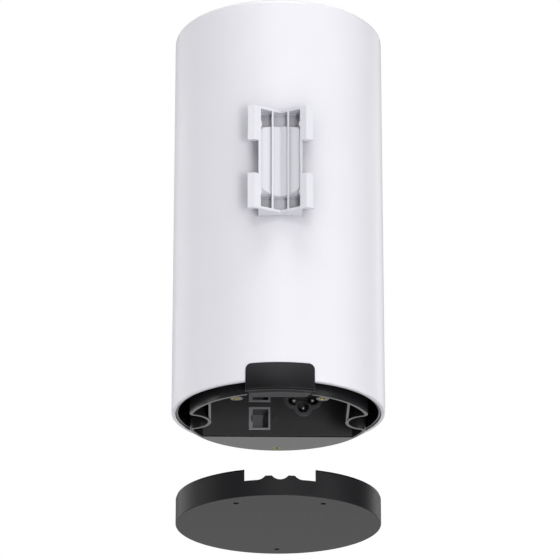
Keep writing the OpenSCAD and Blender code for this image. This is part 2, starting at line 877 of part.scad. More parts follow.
// Plastic bodies inside the two shields, with the plug's way in
module ethernet_inserts() {
  inset = shield_t + run_gap;
  color("dimgray") for (z = jack_zs) translate([0, 0, z]) difference() {
    box([jack_x0 + inset, jack_y0 + inset, -jack_w / 2 + inset],
        [jack_x1 - inset, jack_y1 - inset, jack_w / 2 - inset]);
    along_y(jack_y0, jack_y0 + mouth_depth) jack_mouth();
  }
}

// Eight sprung contact wires in each socket, on the side away from the latch
module ethernet_contacts() {
  x = jack_x1 - board_bar;
  y = jack_y0 + mouth_depth;
  color("gold") for (z = jack_zs, i = [-3.5:3.5]) translate([0, 0, z + i * contact_pitch - contact_t / 2]) {
    linear_extrude(contact_t) polygon([
      [x - run_gap, y - contact_run], [x - run_gap, y - contact_run + contact_tip],
      [x - contact_rise, y - run_gap], [x - contact_rise - contact_w, y - run_gap],
      [x - contact_w, y - contact_run]
    ]);
  }
}

// Mains inlet with three joined lobes
module power_inlet() {
  color("#262628") difference() {
    union() {
      along_y(inlet_y0, port_wall_y - run_gap) inlet_plan(lobe_r + inlet_bezel);
      along_y(inlet_y0, port_back_y) inlet_plan(lobe_r);
      along_y(port_back_y + run_gap, inlet_y1 + inlet_back) inlet_plan(inlet_body_r);
      along_y(port_wall_y, port_back_y + over) inlet_plan(lobe_r - lobe_wall / 2);
    }
    along_y(inlet_y0 - over, inlet_y1) inlet_plan(lobe_r - lobe_wall);
    for (p = pin_points) bar_y(p[0], p[1], pin_d + 2 * run_gap, inlet_y0, inlet_y1 + 2 * inlet_back);
  }
}

// Round pins of the inlet, with domed tips and solder ends
module inlet_pins() {
  color("silver") for (p = pin_points) {
    bar_y(p[0], p[1], pin_d, pin_y, inlet_y1 + inlet_back + pin_tail);
    translate([p[0], pin_y, p[1]]) sphere(d = pin_d);
  }
}

// Reset button with a collar behind the port wall
module reset_button() {
  color("#4c4c50") {
    bar_y(reset_x, reset_zu, reset_d, port_wall_y - reset_proud, reset_collar_y + over / 2);
    bar_y(reset_x, reset_zu, reset_d + 2 * reset_flange, reset_collar_y, reset_collar_y + reset_collar_t);
    bar_y(reset_x, reset_zu, reset_d / 2, reset_collar_y, reset_stem_y);
  }
}

// Switch on the main board behind the reset button
module reset_switch() {
  color("#1e1e20") {
    box([main_x1, plunger_y + plunger_l, reset_zu - switch_w / 2],
        [main_x1 + switch_t, plunger_y + plunger_l + switch_depth, reset_zu + switch_w / 2]);
    bar_y(max(reset_x, main_x1 + switch_in), reset_zu, plunger_d, plunger_y, plunger_y + plunger_l + over);
  }
}

// Main board: a tall panel with a tongue down behind the sockets
module main_board() {
  color("darkgreen") difference() {
    along_x(main_x0, main_x1) {
      translate([main_y0, main_z0]) square([main_w, main_h]);
      translate([tongue_y0, tongue_z0]) square([tongue_y1 - tongue_y0, main_z0 + over - tongue_z0]);
    }
    for (p = main_points) bar_x(p[0], p[1], screw_way, main_x0 - over, main_x1 + over);
  }
}

// Power board: carries the inlet on its tongue
module power_board() {
  color("darkgreen") difference() {
    along_x(power_x0, power_x1) {
      translate([power_y0, main_z0]) square([power_w, power_h]);
      translate([tongue_y0, inlet_zu - earth_drop]) {
        square([power_tongue_y1 - tongue_y0, main_z0 + over - inlet_zu + earth_drop]);
      }
    }
    for (p = power_points) bar_x(p[0], p[1], screw_way, power_x0 - over, power_x1 + over);
  }
}

// Screws that hold both boards to the chassis
module board_screws() {
  color("silver") {
    for (p = main_points) translate([main_x0, p[0], p[1]]) rotate([0, 90, 0]) {
      screw(screw_core, board_screw_l, screw_head, head_h);
    }
    for (p = power_points) translate([power_x1, p[0], p[1]]) rotate([0, -90, 0]) {
      screw(screw_core, board_screw_l, screw_head, head_h);
    }
  }
}

// Sheet-metal cans over the radio circuits
module shield_cans() {
  inner_y = can_w / 2 - can_wall;
  color("silver") for (lift = can_lifts) translate([main_x0, 0, main_z0 + lift]) difference() {
    box([-can_t, -can_w / 2, 0], [0, can_w / 2, can_h]);
    box([can_wall - can_t, -inner_y, can_wall], [over, inner_y, can_h - can_wall]);
  }
}

// Processor package on the main board
module processor() {
  color("#202022") {
    box([main_x1, -chip_w / 2, chip_z - chip_w / 2], [main_x1 + chip_t, chip_w / 2, chip_z + chip_w / 2]);
  }
}

// Soft pad between the processor and the heat sink
module thermal_pad() {
  color("lightsteelblue") {
    box([main_x1 + chip_t, -chip_w / 2, chip_z - chip_w / 2], [sink_x0, chip_w / 2, chip_z + chip_w / 2]);
  }
}

// Finned heat sink
module heat_sink() {
  fin_pitch = (sink_w - fin_t) / (fin_count - 1);
  color("gray") {
    box([sink_x0, -sink_w / 2, chip_z - sink_h / 2], [sink_x0 + sink_base, sink_w / 2, chip_z + sink_h / 2]);
    for (i = [0:fin_count - 1]) {
      box([sink_x0 + sink_base - over / 2, -sink_w / 2 + i * fin_pitch, chip_z - sink_h / 2],
          [sink_x1, -sink_w / 2 + i * fin_pitch + fin_t, chip_z + sink_h / 2]);
    }
  }
}

// Metal chassis: a plate on a foot, with stand-offs for both boards and a tab for the carrier
module chassis() {
  color("lightgray") difference() {
    union() {
      along_x(chassis_x, chassis_x1) {
        translate([main_y0, deck_z]) square([main_w, main_z1 - deck_z]);
        translate([-shoulder_y, deck_z]) square([2 * shoulder_y, carrier_z - deck_z]);
        translate([-tab_y, deck_z]) square([2 * tab_y, carrier_z + carrier_t - deck_z]);
      }
      box([chassis_x, -foot_y, deck_z], [foot_x1, foot_y, deck_z + chassis_t]);
      for (p = main_points) bar_x(p[0], p[1], standoff_d, main_x1, chassis_x + over / 2);
      for (p = power_points) bar_x(p[0], p[1], standoff_d, chassis_x1 - over / 2, power_x0);
    }
    for (p = main_points) bar_x(p[0], p[1], screw_pilot, main_x1 - over, chassis_x);
    for (p = power_points) bar_x(p[0], p[1], screw_pilot, chassis_x1, power_x0 + over);
    for (p = foot_points) translate([p[0], p[1], deck_z - over]) {
      cylinder(d = screw_way, h = chassis_t + 2 * over);
    }
    for (s = [-1, 1]) {
      bar_x(s * window_y, main_z0 + window_lift, window_d, chassis_x - over, chassis_x1 + over);
    }
  }
}

// Screws that hold the chassis foot to the flange
module chassis_screws() {
  color("silver") for (p = foot_points) translate([p[0], p[1], deck_z + chassis_t]) rotate([180, 0, 0]) {
    screw(screw_core, foot_screw_l, screw_head, head_h);
  }
}

// Mains transformer: a ferrite frame round a wound bobbin
module transformer() {
  hole_y = core_w / 2 - core_t;
  color("saddlebrown") translate([power_x1, 0, main_z0 + core_lift]) {
    bar_x(0, 0, bobbin_d, 0, core_depth);
    difference() {
      box([0, -core_w / 2, -core_h / 2], [core_depth, core_w / 2, core_h / 2]);
      box([core_t, -hole_y, -core_h / 2 - over], [core_depth - core_t, hole_y, core_h / 2 + over]);
    }
  }
}

// Smoothing capacitors with a crimped neck
module capacitors() {
  color("#30343c") for (s = [-1, 1]) translate([power_x1, s * cap_pitch / 2, main_z0 + cap_lift]) {
    bar_x(0, 0, cap_d, 0, neck_x0);
    bar_x(0, 0, cap_d - 2 * neck_in, 0, cap_l);
    bar_x(0, 0, cap_d, neck_x1, cap_l);
  }
}

// Plastic disc that holds the antennas, slotted for the chassis tab
module antenna_carrier() {
  color("gainsboro") difference() {
    union() {
      translate([0, 0, carrier_z]) cylinder(r = carrier_r, h = carrier_t);
      translate([0, 0, carrier_z]) difference() {
        cylinder(r = carrier_r, h = carrier_t + carrier_rim_h);
        translate([0, 0, carrier_t / 2]) {
          cylinder(r = carrier_r - carrier_rim_t, h = carrier_t + carrier_rim_h);
        }
      }
    }
    box([chassis_x - seat_gap, -tab_y - seat_gap, carrier_z - over],
        [chassis_x1 + seat_gap, tab_y + seat_gap, carrier_z + carrier_t + over]);
    for (a = antenna_a) translate([lead_place(a)[0], lead_place(a)[1], carrier_z - over]) {
      cylinder(d = lead_d + 2 * run_gap, h = carrier_t + 2 * over);
    }
  }
}

// Where an antenna's lead goes down through the carrier
function lead_place(a) = (antenna_r - lead_in) * [cos(a), sin(a)];

// Sheet-metal antennas: a foot on the carrier, an upright and a folded top
module antennas() {
  z = carrier_z + carrier_t;
  color("goldenrod") for (a = antenna_a) rotate(a) {
    difference() {
      box([antenna_r - lead_in - foot_heel, -antenna_w / 2, z], [antenna_r, antenna_w / 2, z + sheet_t]);
      translate([antenna_r - lead_in, 0, z - over]) {
        cylinder(d = lead_d + 2 * run_gap, h = sheet_t + 2 * over);
      }
    }
    along_x(antenna_r - sheet_t, antenna_r) difference() {
      translate([-antenna_w / 2, z]) square([antenna_w, antenna_h]);
      translate([-slot_w / 2, z + slot_lift]) square([slot_w, antenna_h - slot_lift - slot_top]);
      translate([antenna_w / 4, z + notch_lift]) square([antenna_w, slot_w]);
    }
    box([antenna_r - antenna_fold, -antenna_w / 2, z + antenna_h - sheet_t],
        [antenna_r, antenna_w / 2, z + antenna_h]);
  }
}

// Thin coaxial leads from the antennas to plugs on the main board
module antenna_leads() {
  color("#3a3a3a") for (a = antenna_a) {
    p = lead_place(a);
    translate([p[0], p[1], lead_z]) cylinder(d = lead_d, h = carrier_z + carrier_t + sheet_t - lead_z);
    translate([p[0], p[1], lead_z]) sphere(d = lead_d);
    bar_x(p[1], lead_z, lead_d, min(p[0], lead_x), max(p[0], lead_x));
    translate([lead_x, p[1], lead_z]) sphere(d = lead_d);
    translate([lead_x, p[1], plug_z]) cylinder(d = lead_d, h = lead_z - plug_z);
    bar_x(p[1], plug_z, plug_d, lead_x - lead_d / 2, main_x0);
  }
}

// Status light on the main board's front edge
module status_led() {
  color("white") {
    box([main_x1, led_y - led_w, led_z - led_w / 2], [pipe_x + pipe_d / 2, led_y, led_z + led_w / 2]);
  }
}

// Clear rod that brings the status light to the shell's front
module light_pipe() {
  color("azure") intersection() {
    union() {
      bar_y(pipe_x, led_z, pipe_d, led_y + seat_gap, shell_r);
      bar_y(pipe_x, led_z, pipe_d + 2 * pipe_flange, pipe_y - pipe_flange_t, pipe_y);
    }
    cylinder(r = shell_r, h = top_z);
  }
}

// Half section of the cover's outside
module cover_section() {
  difference() {
    square([cover_r, cover_h]);
    translate([cover_r, 0]) mirror([0, 1]) corner_cut(cover_round);
    translate([cover_r - lip_step, cover_h - lip_h]) square([lip_step + over, lip_h + over]);
  }
}

// Cable cut-out in the cover's rear: three round scallops between low bumps
module cable_cut() {
  z = cover_h - cut_depth;
  half = hood_w / 2 + cut_gap;
  translate([-half, z + bump_h]) square([2 * half, cut_depth]);
  for (i = [-1:1]) translate([i * cable_pitch, z + cable_r]) circle(r = cable_r);
  for (s = [0, 1]) mirror([s, 0]) translate([cable_pitch, z]) square([half - cable_pitch, cut_depth]);
}

// Black bottom cover with three tall screw bosses
module base_cover() {
  color("#3a3a3c") difference() {
    union() {
      difference() {
        rotate_extrude() cover_section();
        translate([0, 0, cover_floor]) cylinder(r = cover_r - cover_wall, h = cover_h);
      }
      for (p = cover_points) {
        translate([p[0], p[1], cover_floor / 2]) cylinder(d = boss_d, h = cover_seat - cover_floor / 2);
      }
      for (a = screw_angles) rotate(a) {
        box([screw_circle, -cover_rib / 2, cover_floor / 2],
            [cover_r - cover_wall / 2, cover_rib / 2, cover_seat / 2]);
      }
    }
    along_y(-cover_r - over, -skirt_ri) cable_cut();
    for (p = cover_points) translate([p[0], p[1], -over]) {
      cylinder(d = tool_hole_d, h = cover_seat - cover_neck + over);
      cylinder(d = cover_core + 2 * thread_gap, h = cover_seat + 2 * over);
    }
  }
}

// Slim captive screws, deep in the cover's bosses
module cover_screws() {
  color("silver") for (p = cover_points) translate([p[0], p[1], cover_seat - cover_neck]) {
    screw(cover_core, cover_neck + cover_reach, tool_hole_d - 4 * run_gap, cover_head_h);
  }
}

outer_shell();
pole_bracket();
bracket_screws();
base_frame();
port_plate();
base_screws();
shell_seal();
cable_hood();
cable_seal();
brass_inserts();
ethernet_shields();
ethernet_inserts();
ethernet_contacts();
power_inlet();
inlet_pins();
reset_button();
reset_switch();
main_board();
board_screws();
shield_cans();
processor();
thermal_pad();
heat_sink();
chassis();
chassis_screws();
power_board();
transformer();
capacitors();
antenna_carrier();
antennas();
antenna_leads();
status_led();
light_pipe();
base_cover();
cover_screws();
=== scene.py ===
# %% [markdown]
# # An outdoor mesh wifi node, dressed in Blender
# The solids of this node come ready made, in metres, with +Z up and the pole behind it at -Y. Every
# piece of this scene is built round that fixed frame, so nothing is fitted by eye: a place is read
# from a solid's box or mesh, or worked out from these.

# %% The frame
import math

import bpy
import numpy as np
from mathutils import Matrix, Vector


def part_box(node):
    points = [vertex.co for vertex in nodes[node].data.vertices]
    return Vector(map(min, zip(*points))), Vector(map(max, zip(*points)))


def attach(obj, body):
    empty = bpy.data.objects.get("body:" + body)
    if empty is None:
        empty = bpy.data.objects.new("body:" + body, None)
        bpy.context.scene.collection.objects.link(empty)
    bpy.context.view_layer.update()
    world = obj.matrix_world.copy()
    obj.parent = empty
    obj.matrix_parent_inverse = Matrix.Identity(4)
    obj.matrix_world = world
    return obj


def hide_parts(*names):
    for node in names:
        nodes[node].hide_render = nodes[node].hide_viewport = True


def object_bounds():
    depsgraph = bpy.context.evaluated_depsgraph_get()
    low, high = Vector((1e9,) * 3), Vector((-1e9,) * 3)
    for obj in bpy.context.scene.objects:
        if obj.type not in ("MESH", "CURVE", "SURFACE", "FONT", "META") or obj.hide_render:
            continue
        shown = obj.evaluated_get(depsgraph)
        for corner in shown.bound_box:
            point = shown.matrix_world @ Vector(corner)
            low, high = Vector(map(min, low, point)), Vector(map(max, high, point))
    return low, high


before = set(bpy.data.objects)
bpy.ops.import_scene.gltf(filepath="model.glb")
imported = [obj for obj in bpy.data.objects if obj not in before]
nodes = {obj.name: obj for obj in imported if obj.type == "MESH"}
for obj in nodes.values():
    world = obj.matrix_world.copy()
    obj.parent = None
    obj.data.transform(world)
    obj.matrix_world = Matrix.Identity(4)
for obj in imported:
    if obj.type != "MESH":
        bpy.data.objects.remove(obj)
cad_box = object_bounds()
MM = 0.001
scene = bpy.context.scene
scene.view_settings.view_transform = "Standard"
print(len(nodes), "solids, box", [round(1000 * (b - a), 1) for a, b in zip(*cad_box)], "mm")


# %% [markdown]
# ## The camera
# The node is photographed from below and behind, with a long lens, as one looks up at it on a pole. A
# long lens could be faked with a parallel camera, but the rim and the cover would then show the same
# ellipse. So this is a real lens, with the distance and the pitch that give both ellipses their height.

# %% Camera
PHOTO_PX = 560            # width and height of the picture
FOCAL_PX = 3334.0         # focal length, counted in these pixels
AXIS_PX = 278.3           # column in which the node's axis stands
SENSOR_MM = 36.0
CAMERA_DISTANCE = 1.850   # metres from the axis
CAMERA_HEIGHT = -0.553    # metres, so it stands below the node
CAMERA_PITCH = 20.85      # degrees upwards
CAMERA_YAW = -1.0         # degrees round the axis

lens = bpy.data.cameras.new("long_lens")
lens.sensor_width = SENSOR_MM
lens.lens = FOCAL_PX / PHOTO_PX * SENSOR_MM
lens.shift_x = 0.5 - AXIS_PX / PHOTO_PX
camera = bpy.data.objects.new("camera", lens)
scene.collection.objects.link(camera)
yaw = math.radians(CAMERA_YAW)
camera.location = (CAMERA_DISTANCE * math.sin(yaw), -CAMERA_DISTANCE * math.cos(yaw), CAMERA_HEIGHT)
camera.rotation_euler = (math.radians(90 + CAMERA_PITCH), 0, yaw)
scene.camera = camera
print("camera", [round(x, 3) for x in camera.location], "lens", round(lens.lens, 1), "mm")


# %% [markdown]
# ## Colours and nodes
# Colours are chosen on a screen, so they are written as sRGB hex values. Blender's shaders work in
# linear light, and one function does that change. A second small function adds any node with its
# settings and its links, so a material reads as a list of what it is made of.

# %% Two helpers
def linear(code):
    """sRGB hex to linear RGBA: the low end is a straight line, the rest a power of 2.4."""
    srgb = np.array([int(code[i:i + 2], 16) for i in (1, 3, 5)]) / 255
    rgb = np.where(srgb <= 0.04045, srgb / 12.92, ((srgb + 0.055) / 1.055) ** 2.4)
    return (*rgb.tolist(), 1.0)


def add(tree, kind, inputs=None, **settings):
    """Adds a node. Settings are its own properties; inputs are numbers, colours or sockets to link."""
    made = tree.nodes.new("ShaderNode" + kind)
    for name, value in settings.items():
        setattr(made, name, value)
    for name, value in (inputs or {}).items():
        if isinstance(value, bpy.types.NodeSocket):
            tree.links.new(value, made.inputs[name])
        else:
            made.inputs[name].default_value = value
    return made


WHITE = linear("#ffffff")
print("white is", WHITE, "and mid grey", [round(x, 3) for x in linear("#808080")])


# %% [markdown]
# ## Sky and floor
# The background is pure white, and it has to stay white without flooding the node with light. Light
# Path tells the world which ray asks: rays from the camera and rays through clear plastic see white,
# mirror rays see a dark room, and the others see a dim sky that fills the shadows. A white room for
# the mirror rays was the other choice, but it laid a grey veil over all the black parts.
#
# The floor lies far below, because the lens looks up. A white floor would throw much light on the
# undersides, so its paint is a pale grey, and Light Path makes it almost white for the lens alone.

# %% Sky and floor
SKY_FILL = 0.33           # strength of the sky that fills the shadows
SKY_SHEEN = 0.12          # strength of the room that mirror rays see
FLOOR_Z = -1.25           # metres
FLOOR_SIZE = 5.0          # metres
FLOOR_ROUGHNESS = 0.9
FLOOR_WHITE = 0.94        # share of pure white in what the lens sees of the floor


def white_room(world):
    """Sky: white for the lens and for clear plastic, dark for mirror rays, a dim fill for the rest."""
    world.use_nodes = True
    tree = world.node_tree
    tree.nodes.clear()
    path = add(tree, "LightPath").outputs
    seen = add(tree, "Math", {0: path["Is Camera Ray"], 1: path["Is Transmission Ray"]}, operation="MAXIMUM")
    fill = add(tree, "Background", {"Color": linear("#f8f8fc"), "Strength": SKY_FILL})
    sheen = add(tree, "Background", {"Color": WHITE, "Strength": SKY_SHEEN})
    white = add(tree, "Background", {"Color": WHITE, "Strength": 1.0})
    lit = add(tree, "MixShader", {0: path["Is Glossy Ray"], 1: fill.outputs[0], 2: sheen.outputs[0]})
    mix = add(tree, "MixShader", {0: seen.outputs[0], 1: lit.outputs[0], 2: white.outputs[0]})
    add(tree, "OutputWorld", {"Surface": mix.outputs[0]})


def floor_paint():
    """Rough pale grey, mixed with plain white for rays from the lens."""
    paint = bpy.data.materials.new("floor_paint")
    paint.use_nodes = True
    tree = paint.node_tree
    shader = tree.nodes["Principled BSDF"]
    shader.inputs["Base Color"].default_value = linear("#e6e6e8")
    shader.inputs["Roughness"].default_value = FLOOR_ROUGHNESS
    lens_ray = add(tree, "LightPath").outputs["Is Camera Ray"]
    share = add(tree, "Math", {0: lens_ray, 1: FLOOR_WHITE}, operation="MULTIPLY")
    white = add(tree, "Emission", {"Color": WHITE, "Strength": 1.0})
    mix = add(tree, "MixShader", {0: share.outputs[0], 1: shader.outputs[0], 2: white.outputs[0]})
    tree.links.new(mix.outputs[0], tree.nodes["Material Output"].inputs["Surface"])
    return paint


def piece(name, points, faces, made):
    """A mesh object at the origin, from an array of points, a list of faces and one material."""
    mesh = bpy.data.meshes.new(name)
    mesh.from_pydata(points.tolist(), [], faces)
    mesh.materials.append(made)
    thing = bpy.data.objects.new(name, mesh)
    scene.collection.objects.link(thing)
    return thing


scene.world = scene.world or bpy.data.worlds.new("sky")
white_room(scene.world)
corners = np.array([(-1, -1), (1, -1), (1, 1), (-1, 1)]) * FLOOR_SIZE / 2
floor = piece("floor", np.c_[corners, np.full(len(corners), FLOOR_Z)], [(0, 1, 2, 3)], floor_paint())
print("sky fill", SKY_FILL, "floor at", FLOOR_Z, "m")


# %% [markdown]
# ## Lamps
# Area lamps do the modelling. Point lamps would be simpler, but they leave small hard glints, and a satin
# tube shows broad ones. One lamp stands low and near the lens, one at each side and two above. Three
# stand behind and give the tube its pale edges, and one below these lights its rim on the left. The
# black undersides get their grey from a wide card behind the node, low enough to be seen in them.

# %% Lamps
MIDDLE = (cad_box[0] + cad_box[1]) / 2
# Azimuth and elevation in degrees, then distance, width and height in metres, then watts
LAMPS = {
    "key_lamp": (15, -19, 2.4, 0.45, 0.8, 19.4),
    "side_lamp": (55, 0, 2.4, 0.5, 0.9, 10.5),
    "left_side_lamp": (-88, 0, 2.4, 0.6, 1.4, 8.6),
    "left_edge_lamp": (-120, 8, 2.4, 0.6, 1.8, 6.6),
    "left_back_lamp": (-140, 8, 2.4, 0.6, 1.8, 7.2),
    "right_edge_lamp": (140, 8, 2.4, 0.6, 1.8, 9.2),
    "top_lamp": (0, 70, 2.0, 1.0, 1.0, 18.8),
    "brow_lamp": (0, 22, 2.8, 1.0, 0.5, 9.2),
    "low_left_lamp": (-130, -42, 2.2, 1.0, 1.0, 11),
    "back_card": (180, -22, 3.2, 5.0, 2.4, 36),
}


def softbox(name, azimuth, elevation, distance, width, height, watts):
    """An area lamp aimed at the node's middle. Azimuth 0 is the lens's side and 90 is +X."""
    a, e = math.radians(azimuth), math.radians(elevation)
    away = Vector((math.sin(a) * math.cos(e), -math.cos(a) * math.cos(e), math.sin(e)))
    lamp = bpy.data.lights.new(name, "AREA")
    lamp.shape = "RECTANGLE"
    lamp.size = width
    lamp.size_y = height
    lamp.energy = watts
    box = bpy.data.objects.new(name, lamp)
    box.location = MIDDLE + away * distance
    box.visible_camera = False
    box.rotation_euler = (-away).to_track_quat("-Z", "Y").to_euler()
    scene.collection.objects.link(box)
    print(name, "at", [round(x, 2) for x in box.location])


for lamp_name, numbers in LAMPS.items():
    softbox(lamp_name, *numbers)


# %% [markdown]
# ## Moulded plastic
# Most of what shows is moulded. A mould is spark-eroded, which leaves a fine even grain on the plastic,
# and its edges come out a little rounded and smoother than the faces. A flat colour with one roughness
# would miss all of that. Here a fine noise gives the grain, a slow one gives the faint unevenness of
# the colour, and the Bevel node finds the edges: it answers with the normal of a rounded edge, and
# where that differs from the face's own normal there is an edge. That normal catches the light, and
# the colour there is also made paler, as a painted highlight.
# A real grain is about 0.1 mm, too fine for this picture, so it is drawn several times coarser.

# %% A recipe for moulded plastic
PATCH_DETAIL = 3.0        # octaves of the slow noise
GRAIN_DETAIL = 4.0        # octaves of the fine noise
GRAIN_LOW, GRAIN_HIGH = 0.3, 0.7    # the values between which the fine noise mostly stays
EDGE_FULL = 0.82          # an edge has its full tone where the two normals' dot product is this low
EDGE_SAMPLES = 6
OCCLUSION_SAMPLES = 8


def moulded(name, face, shade, edge, rough, grain_mm=0.9, relief_mm=0.004, patch_mm=38.0, edge_mm=0.45,
            fade=None, occlusion_shade=None, **shader):
    """Plastic: face and shade are its two close tones, edge its paler tone on edges (a painted highlight),
    rough its two limits.

    The tones change in slow patches or, with fade (axis, from mm, to mm), from shade to face along the axis.
    A tone with a reach in mm, given for the shade of near walls, darkens the colour towards that tone where
    walls within the reach hide the sky: this is painted shade. Faces that look down are left without it."""
    made = bpy.data.materials.new(name)
    made.use_nodes = True
    tree = made.node_tree
    place = add(tree, "TexCoord").outputs["Object"]
    patch = add(tree, "TexNoise", {"Vector": place, "Scale": 1 / (patch_mm * MM), "Detail": PATCH_DETAIL})
    grain = add(tree, "TexNoise", {"Vector": place, "Scale": 1 / (grain_mm * MM), "Detail": GRAIN_DETAIL})
    blend = patch.outputs[0]
    if fade:
        axis, start, end = fade
        along = add(tree, "SeparateXYZ", {0: place}).outputs[axis]
        reach = {"Value": along, "From Min": start * MM, "From Max": end * MM}
        blend = add(tree, "MapRange", reach).outputs[0]
    tone = add(tree, "Mix", {"Factor": blend, "A": linear(shade), "B": linear(face)}, data_type="RGBA")
    own = add(tree, "NewGeometry").outputs["Normal"]
    # Painted shade: the colour is darkened towards a grey where Ambient Occlusion finds near walls that hide
    # the sky. Faces that look down keep their colour.
    if occlusion_shade:
        shade_tone, reach_mm = occlusion_shade
        sky = add(tree, "AmbientOcclusion", {"Distance": reach_mm * MM}, samples=OCCLUSION_SAMPLES)
        upright = add(tree, "SeparateXYZ", {0: own}).outputs["Z"]
        down = add(tree, "MapRange", {"Value": upright, "From Min": 0.0, "From Max": -1.0})
        unshaded = add(tree, "Math", {0: sky.outputs["AO"], 1: down.outputs[0]}, operation="MAXIMUM")
        tone = add(tree, "Mix", {"Factor": unshaded.outputs[0], "A": linear(shade_tone), "B": tone.outputs["Result"]},
                   data_type="RGBA")
    # Painted highlight: where the Bevel normal turns away from the face's own normal, the colour goes to the
    # paler edge tone.
    rounded = add(tree, "Bevel", {"Radius": edge_mm * MM}, samples=EDGE_SAMPLES)
    same = add(tree, "VectorMath", {0: rounded.outputs[0], 1: own}, operation="DOT_PRODUCT")
    edge_highlight = add(tree, "MapRange", {"Value": same.outputs["Value"], "From Min": 1.0, "From Max": EDGE_FULL})
    colour = add(tree, "Mix", {"Factor": edge_highlight.outputs[0], "A": tone.outputs["Result"], "B": linear(edge)},
                 data_type="RGBA")
    gloss = add(tree, "MapRange", {"Value": grain.outputs[0], "From Min": GRAIN_LOW, "From Max": GRAIN_HIGH,
                                   "To Min": rough[0], "To Max": rough[1]})
    bump = add(tree, "Bump", {"Height": grain.outputs[0], "Normal": rounded.outputs[0],
                              "Distance": relief_mm * MM, "Strength": 1.0})
    bsdf = tree.nodes["Principled BSDF"]
    for socket, value in shader.items():
        bsdf.inputs[socket.replace("_", " ")].default_value = value
    tree.links.new(colour.outputs["Result"], bsdf.inputs["Base Color"])
    tree.links.new(gloss.outputs[0], bsdf.inputs["Roughness"])
    tree.links.new(bump.outputs[0], bsdf.inputs["Normal"])
    return made


def wear(made, *names):
    """Gives a material to the CAD nodes of these names."""
    for name in names:
        nodes[name].material_slots[0].material = made
    print(made.name, "on", ", ".join(names))


print("an edge has its full tone at a turn of", round(math.degrees(math.acos(EDGE_FULL))), "degrees")


# %% [markdown]
# ## The white parts
# The shell is one tall moulding that stands in the weather, and the bracket on its back carries it on the
# pole. One white could serve both, but they are two plastics, and side by side it shows. Painted shade greys
# the bracket's pockets and the wall round them. It could be painted on by hand, but Ambient Occlusion finds
# these places by itself: they are where near walls hide the sky.

# %% White shell and bracket
# ASA, moulded: weatherproof, a cool white that is almost lavender, with a soft, wide sheen, and with painted
# shade round the bracket
shell_white = moulded("asa_moulded_white", "#efeef3", "#e9e8ed", "#f4f4f8", (0.36, 0.46),
                      occlusion_shade=("#94949c", 70.0))
wear(shell_white, "outer_shell")
# Glass-filled nylon, moulded: a harder, drier white than the shell's, with painted shade that greys its
# pockets
bracket_white = moulded("nylon_moulded_white", "#e6e6eb", "#e0e0e6", "#f6f6fa", (0.42, 0.55), grain_mm=0.6,
                        occlusion_shade=("#98989e", 10.0))
wear(bracket_white, "pole_bracket")


# %% [markdown]
# ## The black parts
# Base, port plate, inlet, hood and cover are all black, and all but the inlet are of one blend of plastic,
# but their moulds were finished in different ways. One black for all would melt them into one dark hole.
# So each gets its own tone and gloss, and the eye can tell where one ends and the next begins.

# %% Black base, hood and cover
# PC and ABS blend, moulded in a polished mould: deep black, and at a flat angle it mirrors what is pale
base_black = moulded("pc_abs_moulded_black", "#1f1f21", "#1a1a1c", "#3c3c3f", (0.27, 0.3), relief_mm=0.0005)
wear(base_black, "base_frame", "reset_switch")
# The same blend from a spark-eroded mould: matt, so it stays an even dark grey
plate_black = moulded("pc_abs_eroded_black", "#444446", "#3c3c3e", "#585859", (0.4, 0.5))
wear(plate_black, "port_plate")
# PBT, moulded: a little paler and glossier than the plate round it
inlet_black = moulded("pbt_moulded_black", "#626265", "#58585b", "#737377", (0.3, 0.4), edge_mm=0.6)
wear(inlet_black, "power_inlet")
# The blend with a satin face, with painted shading: black at its lower edge and greyer towards the top
hood_black = moulded("pc_abs_satin_black", "#303033", "#151517", "#626266", (0.38, 0.46),
                     fade=("Z", 64, 78), Specular_IOR_Level=0.18)
wear(hood_black, "cable_hood")
# The blend with a grained face: the grain breaks its shine, so that only a flat angle shows it grey. The lip
# at its top edge is coloured a deeper black, a painted shadow line along the step.
cover_black = moulded("pc_abs_grained_black", "#030303", "#1b1b1d", "#39393c", (0.42, 0.51),
                      fade=("Z", 14.85, 14.95), Specular_IOR_Level=0.22)
wear(cover_black, "base_cover")


# %% [markdown]
# ## Rubber, small plastics and boards
# Most of these sit inside, so a plain colour would do for the picture. But whoever opens the shell will
# look at them closely, so each is made by the same recipe, most with a finer grain, and all with their
# own change of gloss.

# %% Rubber, small plastics and boards
# EPDM rubber, moulded: matt, with paler corners, a painted highlight
wear(moulded("epdm_rubber_grey", "#464648", "#3c3c3e", "#78787b", (0.5, 0.65), grain_mm=0.5, edge_mm=0.3),
     "cable_seal")
wear(moulded("epdm_rubber_black", "#161617", "#111112", "#202022", (0.55, 0.7), grain_mm=0.5), "shell_seal")
# PBT and POM, moulded small: slightly waxy greys
wear(moulded("pbt_moulded_grey", "#747478", "#6a6a6e", "#84848a", (0.35, 0.45), grain_mm=0.5),
     "ethernet_inserts")
wear(moulded("pom_moulded_grey", "#4a4a4e", "#424246", "#66666a", (0.3, 0.4), grain_mm=0.4), "reset_button")
# Polypropylene, moulded without pigment: a milky off-white
wear(moulded("pp_moulded_natural", "#d8d8d4", "#cfcfca", "#e4e4e0", (0.4, 0.5)), "antenna_carrier")
# Epoxy, moulded round the chip: flat black
wear(moulded("epoxy_moulded_black", "#1a1a1c", "#151517", "#2a2a2c", (0.5, 0.6), grain_mm=0.3), "processor")
# Silicone with ceramic powder, cast in sheets: chalky blue
wear(moulded("silicone_pad_blue", "#9fb0bd", "#94a5b3", "#aebdc9", (0.6, 0.7), grain_mm=0.5), "thermal_pad")
# Ferrite, sintered: a dry brown-black
wear(moulded("ferrite_sintered", "#3a3634", "#302d2b", "#4a4542", (0.55, 0.7), grain_mm=0.4), "transformer")
